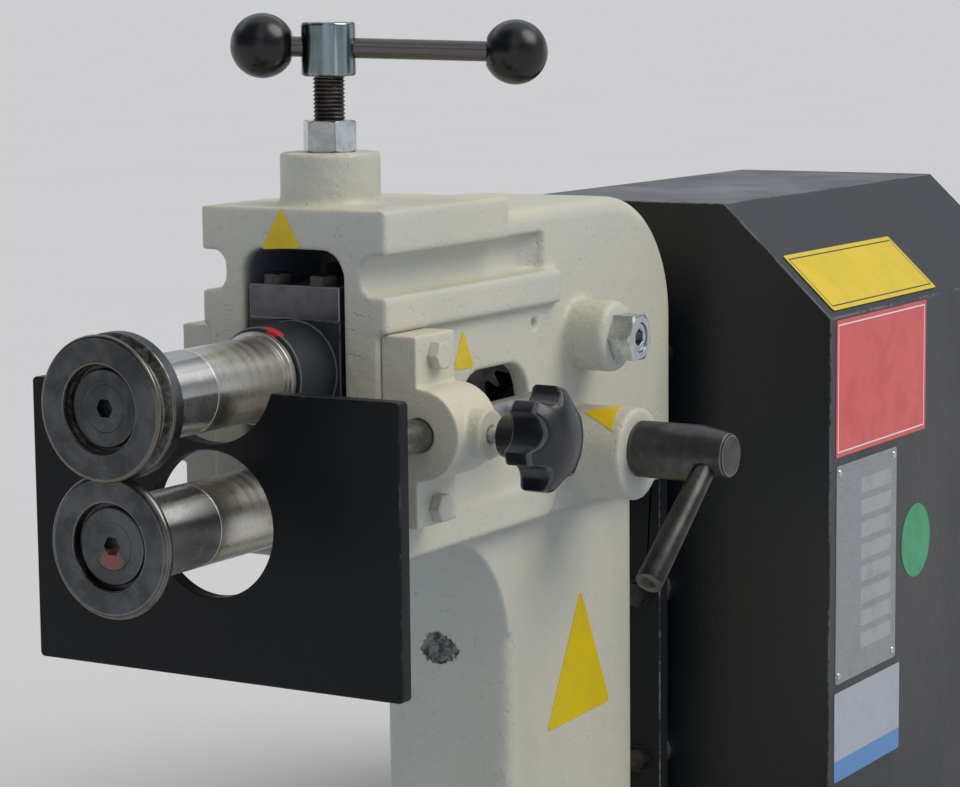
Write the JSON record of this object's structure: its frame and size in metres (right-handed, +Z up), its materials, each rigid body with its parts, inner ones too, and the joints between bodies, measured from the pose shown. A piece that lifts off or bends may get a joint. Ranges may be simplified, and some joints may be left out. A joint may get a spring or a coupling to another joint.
{
  "type": "swaging machine",
  "caption": "Motor-driven swaging machine: a cast frame carries geared roll shafts, a screw sets the roll gap, a lever shifts the lower roll and a plate stops the sheet.",
  "frame": {"origin": "centre of the four base bolt holes, on the underside of the base plate", "axes": "+X towards the shift lever, +Y from the rolls to the drive casing, +Z up"},
  "size_m": [0.3, 0.8426, 0.5368],
  "materials": {
    "cream_paint": "cream paint on a cast surface",
    "black_paint": "satin black paint",
    "casing_paint": "textured black powder coat",
    "zinc_steel": "bright zinc plating",
    "dark_steel": "dark machined steel",
    "rolled_black": "blackened tool steel",
    "shaft_steel": "turned steel",
    "polished_steel": "polished steel",
    "oily_thread": "oily dark steel",
    "bronze": "plain bearing bronze",
    "black_plastic": "moulded black plastic",
    "cast_alloy": "as cast",
    "motor_paint": "grey blue paint"
  },
  "bodies": {
    "frame": {"frame_casting": "cream_paint", "base_plate": "black_paint", "foot_bolts": "zinc_steel", "lower_front_bush": "bronze", "lower_rear_bush": "bronze", "drive_plate": "black_paint", "drive_plate_bolts": "dark_steel", "gearbox_housing": "cast_alloy", "motor_body": "motor_paint", "motor_fan_cover": "motor_paint", "drive_casing": "casing_paint", "rear_cover": "casing_paint", "casing_screws": "dark_steel", "cable_glands": "black_plastic", "bracket_right": "cream_paint", "bracket_left": "cream_paint", "bracket_bolts": "cream_paint", "pivot_screws": "zinc_steel", "pivot_lock_nuts": "zinc_steel"},
    "lock_nut": {"screw_lock_nut": "zinc_steel"},
    "thrust_pad": {"thrust_pad": "dark_steel"},
    "adjusting_screw": {"pressure_screw": "oily_thread", "screw_hub": "polished_steel"},
    "tommy_bar": {"tommy_bar": "polished_steel", "ball_knobs": "black_plastic"},
    "upper_carrier": {"bearing_block": "black_paint", "bearing_cap": "dark_steel", "cap_bolts": "dark_steel", "upper_front_bush": "bronze", "trunnion_block": "dark_steel", "upper_rear_bush": "bronze"},
    "upper_shaft": {"upper_shaft": "shaft_steel", "upper_spacer": "polished_steel", "upper_roll": "rolled_black", "upper_roll_cap": "rolled_black", "upper_roll_screw": "rolled_black", "upper_gear": "shaft_steel", "upper_key": "shaft_steel"},
    "shift_collar": {"shift_collar": "bronze"},
    "lower_shaft": {"lower_shaft": "shaft_steel", "lower_spacer": "polished_steel", "lower_roll": "rolled_black", "lower_roll_cap": "rolled_black", "lower_roll_screw": "rolled_black", "lower_gear": "shaft_steel", "lower_keys": "shaft_steel", "collar_ring": "shaft_steel"},
    "output_sleeve": {"output_sleeve": "shaft_steel"},
    "motor_rotor": {"motor_fan": "black_plastic"},
    "shift_lever": {"lever_hub": "dark_steel", "lever_rod": "polished_steel"},
    "depth_stop": {"stop_plate": "black_paint", "stop_rods": "shaft_steel"},
    "clamp_pad_right": {"clamp_pad_right": "bronze"},
    "clamp_knob_right": {"clamp_knob_right": "black_plastic", "clamp_stud_right": "zinc_steel"},
    "clamp_pad_left": {"clamp_pad_left": "bronze"},
    "clamp_knob_left": {"clamp_knob_left": "black_plastic", "clamp_stud_left": "zinc_steel"}
  },
  "joints": [
    {"name": "lock_nut_turn", "type": "hinge", "parent": "frame", "child": "lock_nut", "pos_m": [0, -0.3596, 0.476], "axis": [0, 0, 1], "range_deg": [0, 60]},
    {"name": "screw_travel", "type": "slide", "parent": "frame", "child": "thrust_pad", "axis": [0, 0, 1], "range_m": [0, 0.00905]},
    {"name": "screw_turn", "type": "hinge", "parent": "thrust_pad", "child": "adjusting_screw", "pos_m": [0, -0.3596, 0.5], "axis": [0, 0, 1], "range_deg": [0, 1620]},
    {"name": "bar_slide", "type": "slide", "parent": "adjusting_screw", "child": "tommy_bar", "axis": [-0.8566, -0.5147, 0.0349], "range_m": [0, 0.059]},
    {"name": "upper_pivot", "type": "hinge", "parent": "frame", "child": "upper_carrier", "pos_m": [0, -0.195, 0.363], "axis": [-1, 0, 0], "range_deg": [0, 3.13]},
    {"name": "upper_spin", "type": "hinge", "parent": "upper_carrier", "child": "upper_shaft", "pos_m": [0, -0.395, 0.363], "axis": [0, 1, 0], "continuous": true},
    {"name": "lower_shift", "type": "slide", "parent": "frame", "child": "shift_collar", "axis": [0, 1, 0], "range_m": [-0.001, 0.001]},
    {"name": "lower_spin", "type": "hinge", "parent": "shift_collar", "child": "lower_shaft", "pos_m": [0, -0.395, 0.3], "axis": [0, 1, 0], "continuous": true},
    {"name": "sleeve_spin", "type": "hinge", "parent": "frame", "child": "output_sleeve", "pos_m": [0, -0.01, 0.3], "axis": [0, 1, 0], "continuous": true},
    {"name": "motor_spin", "type": "hinge", "parent": "frame", "child": "motor_rotor", "pos_m": [0, 0.105, 0.16], "axis": [0, 1, 0], "continuous": true},
    {"name": "lever_turn", "type": "hinge", "parent": "frame", "child": "shift_lever", "pos_m": [0.086, -0.195, 0.303], "axis": [1, 0, 0], "range_deg": [-30, 30]},
    {"name": "stop_slide", "type": "slide", "parent": "frame", "child": "depth_stop", "axis": [0, 1, 0], "range_m": [-0.05, 0.055]},
    {"name": "clamp_right_travel", "type": "slide", "parent": "frame", "child": "clamp_pad_right", "axis": [1, 0, 0], "range_m": [0, 0.00125]},
    {"name": "clamp_right_turn", "type": "hinge", "parent": "clamp_pad_right", "child": "clamp_knob_right", "pos_m": [0.112, -0.373, 0.3352], "axis": [1, 0, 0], "range_deg": [0, 360]},
    {"name": "clamp_left_travel", "type": "slide", "parent": "frame", "child": "clamp_pad_left", "axis": [-1, 0, 0], "range_m": [0, 0.00125]},
    {"name": "clamp_left_turn", "type": "hinge", "parent": "clamp_pad_left", "child": "clamp_knob_left", "pos_m": [-0.112, -0.373, 0.3352], "axis": [-1, 0, 0], "range_deg": [0, 360]}
  ],
  "couplings": [
    {"joint": "screw_turn", "follows": "upper_pivot", "ratio": 517.11},
    {"joint": "screw_travel", "follows": "upper_pivot", "m_per_rad": 0.1646},
    {"joint": "upper_spin", "follows": "lower_spin", "ratio": -1},
    {"joint": "sleeve_spin", "follows": "lower_spin", "ratio": 1},
    {"joint": "motor_spin", "follows": "lower_spin", "ratio": -14},
    {"joint": "lever_turn", "follows": "lower_shift", "rad_per_m": -523.5},
    {"joint": "clamp_right_turn", "follows": "clamp_right_travel", "rad_per_m": 5026.5},
    {"joint": "clamp_left_turn", "follows": "clamp_left_travel", "rad_per_m": 5026.5}
  ]
}
